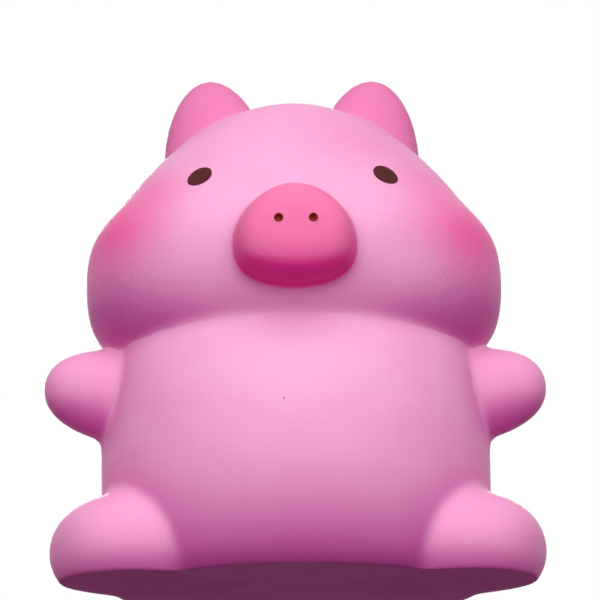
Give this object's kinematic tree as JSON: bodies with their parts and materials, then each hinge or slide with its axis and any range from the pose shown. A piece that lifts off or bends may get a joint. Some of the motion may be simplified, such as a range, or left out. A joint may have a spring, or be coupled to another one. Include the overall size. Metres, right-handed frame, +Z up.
{
  "type": "squishy pig toy",
  "caption": "Sitting pig figure in soft slow-rising foam, with stub arms, short legs, upright ears and a round snout; it squashes when pressed and rises again.",
  "frame": {"origin": "middle of the flat sole that the figure sits on", "axes": "+Z up, the figure faces -Y, +X is to the right as seen from the front"},
  "size_m": [0.1022, 0.0906, 0.1079],
  "materials": {
    "foam_pink": "satin",
    "foam_ear_pink": "satin",
    "foam_snout_pink": "satin",
    "eye_paint": "matte",
    "nostril_paint": "matte"
  },
  "bodies": {
    "torso": {"torso": "foam_pink", "arm_left": "foam_pink", "arm_right": "foam_pink", "leg_left": "foam_pink", "leg_right": "foam_pink", "tail": "foam_pink"},
    "head": {"head": "foam_pink", "snout": "foam_snout_pink", "eye_left": "eye_paint", "eye_right": "eye_paint", "nostril_left": "nostril_paint", "nostril_right": "nostril_paint"},
    "ear_left": {"ear_left": "foam_ear_pink"},
    "ear_right": {"ear_right": "foam_ear_pink"}
  },
  "joints": [
    {"name": "squeeze", "type": "slide", "parent": "torso", "child": "head", "axis": [0, 0, 1], "range_m": [-0.02, 0], "stiffness_N_per_m": 300, "deforming": ["torso", "arm_left", "arm_right"]},
    {"name": "ear_left_fold", "type": "hinge", "parent": "head", "child": "ear_left", "pos_m": [-0.0154, 0.004, 0.0925], "axis": [1, 0, 0], "range_deg": [-35, 35], "stiffness_Nm_per_rad": 0.01, "deforming": ["ear_left"]},
    {"name": "ear_right_fold", "type": "hinge", "parent": "head", "child": "ear_right", "pos_m": [0.0154, 0.004, 0.0925], "axis": [1, 0, 0], "range_deg": [-35, 35], "stiffness_Nm_per_rad": 0.01, "deforming": ["ear_right"]}
  ]
}
